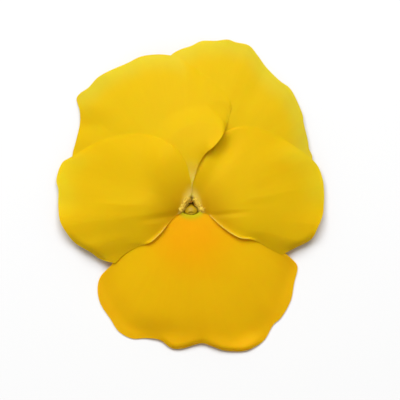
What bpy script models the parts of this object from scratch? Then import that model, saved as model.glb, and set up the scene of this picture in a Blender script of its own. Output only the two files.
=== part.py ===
# Viola flower lying face up: five petals, five sepals, five stamens, pistil, and the picked stalk.
# Frame: petals face +Z, upper petals towards +Y, origin on the surface below the middle of the flower.
import math

import bpy
import numpy as np

MM = 0.001

# Place of the throat axis in the frame, millimetres
THROAT_X = 0.15
THROAT_Y = -1.87

# Driving sizes, millimetres
PETAL_THICKNESS = 0.3
LAYER_STEP = 0.72          # height from one petal to the next one over it
DOME_HALF_WIDTH = 20.4     # the petals arch over an ellipse of these half axes
DOME_HALF_LENGTH = 23.8
DOME_CENTRE_Y = 2.0
DOME_RISE = 6.5
DOME_POWER = 1.8
FUNNEL_DEPTH = 1.15        # hollow round the throat
FUNNEL_REACH = 5.2
VALLEY_RADIUS = 20.0       # distance from the throat at which the valleys have their full depth
RIM_HEIGHT = 0.15          # height of the lowest petal rims, middle of the thickness
RIM_SOFTNESS = 0.2
CLAW_HEIGHT = 3.78         # height of the petal bases above the surface
INNER_CLAW_RADIUS = 1.5    # ring on which the lateral petals stand
OUTER_CLAW_RADIUS = 2.05   # ring on which the upper petals stand
LOWER_CLAW_RADIUS = 1.68   # ring on which the lower petal stands
WALL_WIDTH = 1.5           # width over which a petal turns from its base to its face
RECEPTACLE_RADIUS = 1.9
RECEPTACLE_TOP = 3.3
STALK_RADIUS = 0.65
SEPAL_THICKNESS = 0.34
STAMEN_RING = 0.93          # ring on which the stamens stand
STAMEN_LEAN = 0.79         # share of that ring at which their tips stand
STAMEN_RADIUS = 0.17
STAMEN_FOOT = 3.62         # height of the feet of the stamens and of the pistil
STAMEN_TOP = 4.95
STAMEN_TOP_SHORT = 4.3     # the two stamens under the head of the pistil
HEAD_CENTRE = (-0.04, -0.7, 5.2)   # round head of the pistil
HEAD_SIZE = (0.97, 0.76, 0.66)     # its half axes
SEPAL_DROP = 0.85          # depth of a sepal below the lowest petal layer
SPUR_RADIUS = 0.95
SPUR_WALL = 0.3
ROWS = 12                  # rows of a petal from base to rim
COLUMNS = 35               # columns of a petal across

# Valleys between neighbouring petals: direction and spread in degrees, depth in millimetres
VALLEYS = ((216.0, 20.0, 2.2), (-27.5, 18.0, 1.7), (157.0, 14.0, 0.7), (19.5, 14.0, 0.7))
# Hollow beside the left upper petal: centre, half length, half width, turn in degrees, depth
HOLLOW_CENTRE = (4.4, 9.0)
HOLLOW_SIZE = (3.0, 1.7)
HOLLOW_TURN = 62.0
HOLLOW_DEPTH = 0.8

YELLOW = (0.83, 0.53, 0.008)
DEEP_YELLOW = (0.80, 0.40, 0.006)
GREEN = (0.10, 0.22, 0.03)
STALK_GREEN = (0.16, 0.30, 0.05)
BROWN = (0.35, 0.13, 0.01)
OLIVE = (0.40, 0.32, 0.03)


def clear_scene():
    for old in list(bpy.data.objects):
        bpy.data.objects.remove(old, do_unlink=True)


def make_material(name, colour, roughness):
    material = bpy.data.materials.new(name)
    material.use_nodes = True
    shader = material.node_tree.nodes["Principled BSDF"]
    shader.inputs["Base Color"].default_value = (*colour, 1.0)
    shader.inputs["Roughness"].default_value = roughness
    shader.inputs["Metallic"].default_value = 0.0
    return material


def smooth_step(low, high, value):
    t = np.clip((value - low) / (high - low), 0.0, 1.0)
    return t * t * (3.0 - 2.0 * t)


def smooth_line(points, samples):
    # Catmull-Rom curve through the points, read at even steps of its length
    points = np.asarray(points, float)
    padded = np.vstack([2 * points[0] - points[1], points, 2 * points[-1] - points[-2]])
    t = np.linspace(0.0, 1.0, 16, endpoint=False)[:, None]
    pieces = []
    for a, b, c, d in zip(padded, padded[1:], padded[2:], padded[3:]):
        pieces.append(0.5 * (2 * b + (c - a) * t + (2 * a - 5 * b + 4 * c - d) * t ** 2
                             + (3 * b - a - 3 * c + d) * t ** 3))
    line = np.vstack(pieces + [points[-1:]])
    length = np.concatenate([[0.0], np.cumsum(np.linalg.norm(np.diff(line, axis=0), axis=1))])
    at = np.linspace(0.0, length[-1], samples)
    return np.stack([np.interp(at, length, line[:, k]) for k in range(line.shape[1])], axis=1)


def hollow_depth(x, y):
    # smooth round-bottomed dent over a turned ellipse
    turn = math.radians(HOLLOW_TURN)
    dx, dy = x - HOLLOW_CENTRE[0], y - HOLLOW_CENTRE[1]
    along = (dx * math.cos(turn) + dy * math.sin(turn)) / HOLLOW_SIZE[0]
    across = (dy * math.cos(turn) - dx * math.sin(turn)) / HOLLOW_SIZE[1]
    return HOLLOW_DEPTH * np.exp(-along ** 2 - across ** 2)


def arch_height(x, y):
    # the lowest petal layer: a dome falling to the surface at the rims, with valleys between the
    # petals and a funnel round the throat
    out = np.hypot(x / DOME_HALF_WIDTH, (y - DOME_CENTRE_Y) / DOME_HALF_LENGTH)
    height = DOME_RISE * (1.0 - out ** DOME_POWER)
    radius = np.hypot(x, y)
    angle = np.degrees(np.arctan2(y, x))
    for direction, spread, depth in VALLEYS:
        turn = (angle - direction + 180.0) % 360.0 - 180.0
        height = height - depth * (radius / VALLEY_RADIUS) ** 2 * np.exp(-(turn / spread) ** 2)
    height = height - FUNNEL_DEPTH * np.exp(-(radius / FUNNEL_REACH) ** 2)
    return RIM_HEIGHT + RIM_SOFTNESS * np.logaddexp(0.0, height / RIM_SOFTNESS)


def overlap_lift(x, y):
    # the left upper petal is lifted where the corner of the right lateral petal lies under it
    away = np.hypot(x - 3.0, y - 8.0)
    return 1.0 - smooth_step(6.5, 11.0, away)


def upper_left_offset(x, y):
    over_right_petal = smooth_step(-14.0, -5.0, x)
    return LAYER_STEP * (over_right_petal + overlap_lift(x, y)) * smooth_step(-5.0, 1.0, y)


def lateral_left_offset(x, y):
    return LAYER_STEP + upper_left_offset(x, y)


def one_step(x, y):
    return LAYER_STEP + 0.0 * x


def no_step(x, y):
    return 0.0 * x


# Each petal: ring of its base, the two ends of the base on that ring in degrees, its two side
# margins and its rim, in millimetres from the throat axis, its height above the lowest layer,
# and whether it lies in the hollow.
PETALS = {
    "upper_petal_right": {
        "ring": OUTER_CLAW_RADIUS, "base": (84.0, 30.0), "offset": no_step, "hollow": 1.0,
        "margin_a": [(-0.6, 6.0), (-1.9, 12.0)], "margin_b": [(6.0, 2.2), (12.0, 3.8)],
        "rim": [(-3.8, 21.4), (-2.9, 22.7), (-1.5, 23.5), (0.0, 24.0), (1.6, 24.75), (3.7, 24.8),
                (5.5, 25.0), (6.7, 24.6), (8.7, 24.1), (10.0, 22.6), (11.3, 20.8), (13.3, 18.8),
                (14.7, 17.8), (15.6, 16.4), (16.7, 13.8), (16.9, 12.4), (17.5, 9.9), (17.7, 8.6),
                (18.2, 7.2), (17.4, 5.6)],
    },
    "upper_petal_left": {
        "ring": OUTER_CLAW_RADIUS, "base": (96.0, 150.0), "offset": upper_left_offset,
        "hollow": 0.0,
        "margin_a": [(0.0, 3.1), (0.5, 4.2), (0.9, 5.8), (2.0, 7.7), (3.6, 9.0), (4.7, 10.6),
                     (5.3, 12.4)],
        "margin_b": [(-9.0, 3.9), (-14.0, 5.4)],
        "rim": [(6.1, 14.7), (5.6, 16.4), (3.9, 18.2), (2.1, 19.6), (0.0, 21.0), (-1.5, 22.0),
                (-2.9, 22.5), (-5.0, 22.7), (-7.5, 22.4), (-9.6, 21.4), (-12.0, 20.4),
                (-14.0, 19.3), (-15.4, 17.8), (-16.7, 16.9), (-17.2, 16.0), (-16.7, 14.2),
                (-16.7, 12.3), (-17.2, 10.0), (-17.8, 7.6), (-17.3, 6.3)],
    },
    "lateral_petal_right": {
        "ring": INNER_CLAW_RADIUS, "base": (78.0, -35.0), "offset": one_step, "hollow": 1.0,
        "margin_a": [(0.40, 2.4), (0.35, 4.0), (0.4, 5.6), (1.2, 7.8), (2.8, 9.9)],
        "margin_b": [(1.9, -1.05), (3.0, -1.7), (4.0, -2.6), (5.0, -3.4), (6.0, -4.0),
                     (8.0, -4.7), (10.2, -5.3), (12.0, -6.3)],
        "rim": [(4.6, 11.4), (8.0, 12.2), (12.0, 11.0), (16.0, 8.6), (18.7, 6.4), (19.7, 4.2),
                (19.95, 2.0), (19.9, 0.0), (19.6, -1.3), (18.9, -3.0), (17.8, -4.8), (15.5, -5.7),
                (13.4, -6.9)],
    },
    "lateral_petal_left": {
        "ring": INNER_CLAW_RADIUS, "base": (102.0, 215.0), "offset": lateral_left_offset,
        "hollow": 0.0,
        "margin_a": [(-0.25, 2.5), (-0.2, 4.8), (-0.8, 6.5), (-2.0, 8.4)],
        "margin_b": [(-2.6, -1.6), (-3.4, -2.7), (-4.6, -4.1), (-6.0, -5.3), (-8.2, -6.1),
                     (-10.0, -7.2)],
        "rim": [(-2.9, 9.2), (-6.0, 10.6), (-10.0, 10.8), (-14.0, 9.6), (-17.9, 7.4),
                (-19.4, 6.4), (-20.2, 4.0), (-19.9, 2.4), (-19.9, 0.0), (-19.5, -2.2),
                (-18.2, -3.9), (-17.0, -5.1), (-14.8, -6.3), (-13.2, -7.4), (-11.2, -8.1)],
    },
    "lower_petal": {
        "ring": LOWER_CLAW_RADIUS, "base": (224.0, 316.0), "offset": no_step, "hollow": 0.0,
        "margin_a": [(-1.75, -1.6), (-2.8, -1.4), (-5.5, -2.9), (-8.0, -4.6)],
        "margin_b": [(1.75, -1.6), (3.0, -1.3), (6.2, -2.6), (10.0, -4.5)],
        "rim": [(-10.8, -6.9), (-12.0, -8.9), (-13.6, -10.6), (-14.05, -12.5), (-13.6, -14.7),
                (-12.1, -17.0), (-10.9, -18.8), (-8.9, -19.9), (-6.7, -19.85), (-4.7, -20.1),
                (-3.0, -21.1), (-1.3, -21.15), (1.5, -20.1), (3.0, -20.4), (5.0, -21.2),
                (7.8, -21.2), (9.5, -20.6), (11.1, -19.7), (12.2, -17.8), (13.4, -16.9),
                (14.4, -15.4), (15.1, -13.8), (15.5, -11.5), (16.0, -9.3), (15.3, -8.1),
                (13.0, -6.2)],
    },
}


def petal_grid(spec, columns, rows):
    # straight rays run from the base ring to the rim, and the side margins bend the outer rays
    across = np.linspace(0.0, 1.0, columns)[None, :]
    out = (np.linspace(0.0, 1.0, rows) ** 1.7)[:, None]
    angle = np.radians(spec["base"][0] + (spec["base"][1] - spec["base"][0]) * across[0])
    base = spec["ring"] * np.stack([np.cos(angle), np.sin(angle)], axis=1)
    rim = smooth_line(spec["rim"], columns)
    place = base[None] * (1.0 - out[..., None]) + rim[None] * out[..., None]
    for key, side, weight in (("margin_a", 0, (1.0 - across) ** 3), ("margin_b", -1, across ** 3)):
        margin = smooth_line([base[side], *spec[key], rim[side]], 200)
        step = np.linspace(0.0, 1.0, 200)
        bent = np.stack([np.interp(out[:, 0], step, margin[:, k]) for k in (0, 1)], axis=1)
        place += weight[..., None] * (bent - place[:, side])[:, None]
    x, y = place[..., 0], place[..., 1]
    face = arch_height(x, y) + spec["offset"](x, y) - spec["hollow"] * hollow_depth(x, y)
    rise = np.clip((np.hypot(x, y) - spec["ring"]) / WALL_WIDTH, 0.0, 1.0)
    z = CLAW_HEIGHT + (face - CLAW_HEIGHT) * (1.0 - (1.0 - rise) ** 3)
    return np.stack([x, y, z], axis=-1)


def place_in_frame(points):
    return (np.asarray(points, float) + (THROAT_X, THROAT_Y, 0.0)) * MM


def grid_object(name, grid, material):
    rows, columns = grid.shape[:2]
    index = np.arange(rows * columns).reshape(rows, columns)
    quads = np.stack([index[:-1, :-1], index[:-1, 1:], index[1:, 1:], index[1:, :-1]], axis=-1)
    mesh = bpy.data.meshes.new(name)
    mesh.from_pydata(place_in_frame(grid.reshape(-1, 3)).tolist(), [], quads.reshape(-1, 4).tolist())
    return link_object(name, mesh, material)


def link_object(name, mesh, material):
    mesh.update()
    mesh.shade_smooth()
    mesh.materials.append(material)
    piece = bpy.data.objects.new(name, mesh)
    bpy.context.scene.collection.objects.link(piece)
    return piece


def thicken(piece, thickness):
    wall = piece.modifiers.new("thickness", "SOLIDIFY")
    wall.thickness = thickness * MM
    wall.offset = 0.0
    return wall


def combine(piece, helper, action):
    helper.hide_render = True
    helper.display_type = "WIRE"
    step = piece.modifiers.new(helper.name, "BOOLEAN")
    step.object = helper
    step.operation = action
    step.solver = "EXACT"


def tube_object(name, path, radii, material, sides=12, flatten=1.0):
    # rings of the given radii square to the path, closed by flat ends; flatten thins one direction
    path = np.asarray(path, float)
    radii = np.asarray(radii, float)
    run = np.gradient(path, axis=0)
    run /= np.linalg.norm(run, axis=1)[:, None]
    side = np.cross(run, (1.0, 0.0, 0.0))
    side /= np.linalg.norm(side, axis=1)[:, None]
    other = np.cross(run, side)
    turn = np.linspace(0.0, 2.0 * math.pi, sides, endpoint=False)[None, :, None]
    rings = (path[:, None] + radii[:, None, None]
             * (np.cos(turn) * side[:, None] * flatten + np.sin(turn) * other[:, None]))
    index = np.arange(rings.shape[0] * sides).reshape(-1, sides)
    following = np.roll(index, -1, axis=1)
    quads = np.stack([index[:-1], following[:-1], following[1:], index[1:]], axis=-1)
    faces = quads.reshape(-1, 4).tolist() + [index[0][::-1].tolist(), index[-1].tolist()]
    mesh = bpy.data.meshes.new(name)
    mesh.from_pydata(place_in_frame(rings.reshape(-1, 3)).tolist(), [], faces)
    return link_object(name, mesh, material)


def round_ends(count, length, radius):
    # radii of a rod of this length with half-round ends, at count even cosine steps, and the steps
    t = 0.5 * (1.0 - np.cos(np.linspace(0.06, math.pi - 0.06, count)))
    near = np.minimum(t, 1.0 - t) * length / radius
    return t, radius * np.sqrt(1.0 - (1.0 - np.clip(near, 0.0, 1.0)) ** 2)


def rod_along(name, points, radius, material, count=14, sides=12, flatten=1.0):
    line = smooth_line(points, 100)
    length = np.linalg.norm(np.diff(line, axis=0), axis=1).sum()
    t, radii = round_ends(count, length, radius)
    path = np.stack([np.interp(t, np.linspace(0, 1, 100), line[:, k]) for k in range(3)], axis=1)
    return tube_object(name, path, radii, material, sides, flatten)


def make_petals():
    yellow = make_material("petal_yellow", YELLOW, 0.6)
    deep = make_material("petal_deep_yellow", DEEP_YELLOW, 0.6)
    petals = {}
    for name, spec in PETALS.items():
        grid = petal_grid(spec, COLUMNS, ROWS)
        if spec["base"][1] < spec["base"][0]:
            grid = grid[:, ::-1]
        petals[name] = grid_object(name, grid, deep if name == "lower_petal" else yellow)
        thicken(petals[name], PETAL_THICKNESS)
    return petals


def add_spur(lower_petal):
    # the nectar spur: a blunt hollow sac behind the lower petal, open into the throat
    route = [(0.0, -2.6, 5.3), (0.0, -2.9, 4.4), (0.0, -3.2, 3.4), (0.0, -3.7, 2.3),
             (0.0, -4.6, 1.45), (0.0, -5.8, 1.25)]
    hollow = [(0.0, -1.0, 4.8), (0.0, -2.3, 4.5), (0.0, -3.15, 3.4), (0.0, -3.7, 2.3),
              (0.0, -4.6, 1.45), (0.0, -5.5, 1.3)]
    deep = bpy.data.materials["petal_deep_yellow"]
    sac = rod_along("spur_outside", route, SPUR_RADIUS, deep, count=14, sides=14)
    bore = rod_along("spur_hollow", hollow, SPUR_RADIUS - SPUR_WALL, deep, count=14, sides=12)
    combine(lower_petal, sac, "UNION")
    combine(lower_petal, bore, "DIFFERENCE")


def make_sepals():
    # a sepal runs from its backward ear, past the receptacle, and out under the petals to its tip
    green = make_material("sepal_green", GREEN, 0.55)
    sepals = {"sepal_top": (90.0, 9.2, 1.0), "sepal_upper_left": (162.0, 9.0, 1.0),
              "sepal_upper_right": (18.0, 9.0, 1.0), "sepal_lower_left": (228.0, 7.8, 0.85),
              "sepal_lower_right": (312.0, 7.8, 0.85)}
    ear = [(2.15, 1.9), (2.38, 2.25), (2.45, 2.75)]
    for name, (degrees, reach, scale) in sepals.items():
        out = np.concatenate([[0.0, 0.5, 1.0], 1.0 + 7.0 * np.linspace(0.0, 1.0, 11)[1:]]) / 8.0
        radius = np.concatenate([[p[0] for p in ear], np.linspace(ear[-1][0], reach, 11)[1:]])
        width = scale * np.interp(out, [0.0, 0.04, 0.08, 0.125, 0.3, 0.5, 0.7, 0.85, 0.95, 1.0],
                                  [0.3, 0.75, 0.9, 0.75, 0.8, 1.15, 1.05, 0.7, 0.35, 0.12])
        angle = math.radians(degrees)
        along = np.array([math.cos(angle), math.sin(angle)])
        aside = np.array([-along[1], along[0]])
        spread = np.linspace(-1.0, 1.0, 7)[None, :, None]
        place = radius[:, None, None] * along + spread * width[:, None, None] * aside
        under = arch_height(place[..., 0], place[..., 1]) - SEPAL_DROP
        lift = smooth_step(ear[-1][0], 5.0, radius)[:, None]
        height = ear[-1][1] + 0.9 * smooth_step(ear[-1][0], 4.0, radius)[:, None]
        z = height * (1.0 - lift) + np.minimum(under, height + 1.2) * lift
        z[:3] = np.array([p[1] for p in ear])[:, None]
        thicken(grid_object(name, np.concatenate([place, z[..., None]], axis=-1), green),
                SEPAL_THICKNESS)


def make_stalk():
    # receptacle and picked stalk in one: it hooks over at once and lies along the surface
    route = [(0.0, 0.0, RECEPTACLE_TOP), (0.0, 0.0, 3.0), (0.0, 0.0, 2.6), (0.0, 0.1, 2.1),
             (0.0, 0.45, 1.45), (0.05, 1.2, 0.88), (0.2, 2.4, 0.68), (0.9, 5.0, 0.66),
             (2.0, 8.0, 0.66), (3.5, 11.0, 0.66)]
    line = smooth_line(route, 60)
    drop = np.concatenate([[0.0], np.cumsum(np.linalg.norm(np.diff(line, axis=0), axis=1))])
    radii = np.interp(drop, [0.0, 0.15, 0.5, 0.9, 1.3, 3.0],
                      [RECEPTACLE_RADIUS - 0.3, RECEPTACLE_RADIUS - 0.05, RECEPTACLE_RADIUS,
                       1.15, STALK_RADIUS + 0.1, STALK_RADIUS])
    keep = np.unique(np.concatenate([np.arange(0, 14, 1), np.arange(14, 60, 3), [59]]))
    green = make_material("stalk_green", STALK_GREEN, 0.5)
    tube_object("stalk", line[keep][::-1], radii[keep][::-1], green, sides=16)


def make_stamens():
    brown = make_material("anther_brown", BROWN, 0.6)
    for number in range(5):
        angle = math.radians(90.0 + 72.0 * number)
        out = np.array([math.cos(angle), math.sin(angle)])
        base, tip = STAMEN_RING * out, STAMEN_LEAN * STAMEN_RING * out
        top = STAMEN_TOP_SHORT if number in (2, 3) else STAMEN_TOP
        rod_along(f"stamen_{number + 1}", [(*base, STAMEN_FOOT), (*base, 4.0), (*tip, top)],
                  STAMEN_RADIUS, brown, count=9, sides=8)


def make_pistil():
    # ovary and bent style turned on one line, joined to the round head of the stigma
    olive = make_material("stigma_olive", OLIVE, 0.5)
    line = smooth_line([(0.0, 0.0, STAMEN_FOOT), (0.0, 0.0, 4.2), (0.0, -0.04, 4.6),
                        (-0.02, -0.25, 4.95), (-0.04, -0.5, 5.15)], 40)
    radii = np.interp(np.linspace(0.0, 1.0, 40), [0.0, 0.05, 0.14, 0.28, 0.46, 0.62, 1.0],
                      [0.15, 0.32, 0.42, 0.46, 0.34, 0.2, 0.22])
    keep = np.arange(0, 40, 3)
    pistil = tube_object("pistil", line[keep], radii[keep], olive, sides=14)
    polar = np.linspace(0.05, math.pi - 0.05, 13)
    centre = np.array(HEAD_CENTRE)
    rings = [centre + (0.0, 0.0, HEAD_SIZE[2] * math.cos(a)) for a in polar]
    head = tube_object("stigma_head", rings, HEAD_SIZE[0] * np.sin(polar), olive, sides=20,
                       flatten=HEAD_SIZE[1] / HEAD_SIZE[0])
    combine(pistil, head, "UNION")


def build():
    clear_scene()
    petals = make_petals()
    add_spur(petals["lower_petal"])
    make_sepals()
    make_stalk()
    make_stamens()
    make_pistil()


build()
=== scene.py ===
import bpy
import numpy as np
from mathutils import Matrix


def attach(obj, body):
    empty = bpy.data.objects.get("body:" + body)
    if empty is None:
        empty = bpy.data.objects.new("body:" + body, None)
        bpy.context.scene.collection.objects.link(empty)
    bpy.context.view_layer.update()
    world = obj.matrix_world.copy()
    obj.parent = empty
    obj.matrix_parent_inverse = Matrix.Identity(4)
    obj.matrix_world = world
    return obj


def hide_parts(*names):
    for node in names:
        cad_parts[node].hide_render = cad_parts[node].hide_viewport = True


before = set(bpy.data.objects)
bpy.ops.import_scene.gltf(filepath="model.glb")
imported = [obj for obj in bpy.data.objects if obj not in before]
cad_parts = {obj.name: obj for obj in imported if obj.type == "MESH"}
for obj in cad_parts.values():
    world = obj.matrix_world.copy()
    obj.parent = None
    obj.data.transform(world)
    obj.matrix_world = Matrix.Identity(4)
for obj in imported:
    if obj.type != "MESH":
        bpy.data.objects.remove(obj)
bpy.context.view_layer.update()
mm = 0.001

flower = {
    "throat": (0.15, -1.87),        # throat axis in the frame
    "layerStep": 0.72,              # height from a petal to the next one over it
    "closeAtThroat": 0.5,           # share of that step left where the petals meet at the throat
    "closeReach": (2.0, 9.0),       # distances over which the step grows to its full height
    "archHalf": (20.4, 23.8),       # half axes of the ellipse the petals arch over
    "archCentreY": 2.0,
    "archRise": 6.5,
    "archPower": 1.8,
    "rimHeight": 0.15,
    "rimSoftness": 0.25,
    "clawHeight": 3.78,             # height of the petal bases
    "funnel": (1.15, 5.2),          # depth and reach of the hollow round the throat
    "valleyReach": 20.0,            # distance at which the valleys have their full depth
    # valleys between neighbouring petals: direction in degrees, spread in degrees, full depth
    "valleys": [(216.0, 20.0, 2.2), (-27.5, 18.0, 1.7), (157.0, 14.0, 0.7), (19.5, 14.0, 0.4)],
}


def smoothStep(low, high, value):
    # 3t^2 - 2t^3 of the clamped share between low and high
    t = np.clip((value - low) / (high - low), 0.0, 1.0)
    return t * t * (3.0 - 2.0 * t)


def unit(vectors):
    # each vector over its own length
    return vectors / np.linalg.norm(vectors, axis=-1, keepdims=True)


def distanceAlong(line):
    # distance from the start of a line to each of its points
    return np.concatenate([[0.0], np.cumsum(np.linalg.norm(np.diff(line, axis=0), axis=1))])


def smoothLine(points, count):
    # Catmull-Rom curve through the points, read at even steps of its length
    points = np.asarray(points, float)
    padded = np.vstack([2 * points[0] - points[1], points, 2 * points[-1] - points[-2]])
    a, b, c, d = (padded[k:len(padded) - 3 + k][:, None] for k in range(4))
    t = np.linspace(0.0, 1.0, 32, endpoint=False)[None, :, None]
    line = 0.5 * (2 * b + (c - a) * t + (2 * a - 5 * b + 4 * c - d) * t ** 2
                  + (3 * b - a - 3 * c + d) * t ** 3)
    line = np.vstack([line.reshape(-1, points.shape[1]), points[-1:]])
    length = distanceAlong(line)
    at = np.linspace(0.0, length[-1], count)
    return np.stack([np.interp(at, length, line[:, k]) for k in range(line.shape[1])], axis=1)


def hump(x, y, place):
    # Gaussian hump: place is (x, y, half length, half width, turn in degrees, height)
    cx, cy, long, wide, turn, height = place
    c, s = np.cos(np.radians(turn)), np.sin(np.radians(turn))
    along = ((x - cx) * c + (y - cy) * s) / long
    across = (-(x - cx) * s + (y - cy) * c) / wide
    return height * np.exp(-along ** 2 - across ** 2)


def archHeight(x, y):
    # lowest petal layer: rise * (1 - r^power) on the ellipse, less valleys between the petals and
    # a funnel round the throat
    out = np.hypot(x / flower["archHalf"][0], (y - flower["archCentreY"]) / flower["archHalf"][1])
    height = flower["archRise"] * (1.0 - out ** flower["archPower"])
    angle = np.degrees(np.arctan2(y, x))
    farOut = (np.hypot(x, y) / flower["valleyReach"]) ** 2
    for direction, spread, depth in flower["valleys"]:
        turn = (angle - direction + 180.0) % 360.0 - 180.0
        height = height - depth * farOut * np.exp(-(turn / spread) ** 2)
    depth, reach = flower["funnel"]
    return height - depth * np.exp(-(np.hypot(x, y) / reach) ** 2)


def easedToSurface(height):
    # softplus, so that whatever would sink below the surface lies on it instead
    soft = flower["rimSoftness"]
    return flower["rimHeight"] + soft * np.logaddexp(0.0, height / soft)


# stretches over which the left upper petal rises onto the ones below it
upperLeftRise = {
    "rightward": (-14.0, -5.0),
    "upward": (-5.0, 1.0),
    "corner": (1.5, 6.5),           # upper corner of the right lateral, and how far it reaches
    "cornerReach": (5.5, 8.8),
}


def upperLeftOffset(x, y):
    # lifted over the right upper petal, and twice as much over the corner of the right lateral
    cornerX, cornerY = upperLeftRise["corner"]
    fromCorner = np.hypot(x - cornerX, y - cornerY)
    overCorner = 1.0 - smoothStep(*upperLeftRise["cornerReach"], fromCorner)
    overRight = smoothStep(*upperLeftRise["rightward"], x)
    return (overRight + overCorner) * smoothStep(*upperLeftRise["upward"], y)


# how many petals deep each one lies
layers = {
    "none": lambda x, y: 0.0 * x,
    "step": lambda x, y: 1.0 + 0.0 * x,
    "upperLeft": upperLeftOffset,
    "lateralLeft": lambda x, y: 1.0 + upperLeftOffset(x, y),
}


def spacing(x, y):
    # share of the full layer step: the petals lie closer together at the throat
    close = flower["closeAtThroat"]
    return close + (1.0 - close) * smoothStep(*flower["closeReach"], np.hypot(x, y))


def faceHeight(x, y, layer, extra=0.0):
    # arch and folds eased to the surface, plus the layers below
    step = flower["layerStep"] * spacing(x, y)
    return easedToSurface(archHeight(x, y) + extra) + step * layers[layer](x, y)


# dents beside the left upper petal, on both petals that lie under it there; a dent or swell is
# (x, y, half length, half width, turn in degrees, height)
sharedFolds = {
    "hollow": (5.0, 8.6, 2.2, 1.4, 62.0, -0.88),
    "valley": (4.0, 6.2, 4.6, 1.7, 58.0, -0.5),
    "besideValley": (7.4, 6.4, 4.6, 3.0, 60.0, -0.35),
}
# low swell over the top of the throat, on the three petals that meet there
aboveThroat = (0.2, 3.2, 1.3, 1.1, 90.0, 0.25)

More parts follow.
